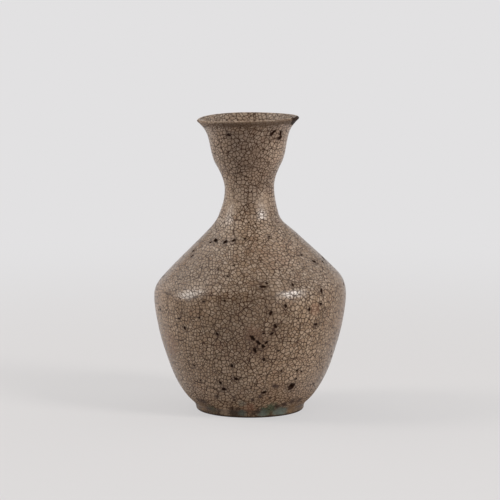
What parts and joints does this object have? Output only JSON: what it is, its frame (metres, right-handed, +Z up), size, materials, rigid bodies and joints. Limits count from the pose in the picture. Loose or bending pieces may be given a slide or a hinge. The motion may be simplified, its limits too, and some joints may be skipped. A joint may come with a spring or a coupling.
{
  "type": "crackle glaze bottle vase",
  "caption": "Wheel-thrown stoneware bottle vase with a wide belly, narrow neck and flaring cup mouth, covered in a fine crackled glaze.",
  "frame": {"origin": "centre of the foot ring's resting face", "axes": "+Z up along the axis on which the vase was thrown; -Y is the front, as in the picture; +X is to the right of someone who looks at the front, the side of the filled chip in the lip"},
  "size_m": [0.131, 0.131, 0.2005],
  "materials": {
    "crackle_glaze": "semi-gloss grey-beige glaze with a fine brown crackle and dark pinholes",
    "foot_glaze": "thin, dull, stained glaze running out to bare clay",
    "lacquer": "old dark brown lacquer, satin"
  },
  "bodies": {
    "root": {"foot_ring": "foot_glaze", "lower_body": "crackle_glaze", "shoulder": "crackle_glaze", "neck": "crackle_glaze", "mouth_cup": "crackle_glaze", "rim_fill": "lacquer"}
  },
  "joints": []
}
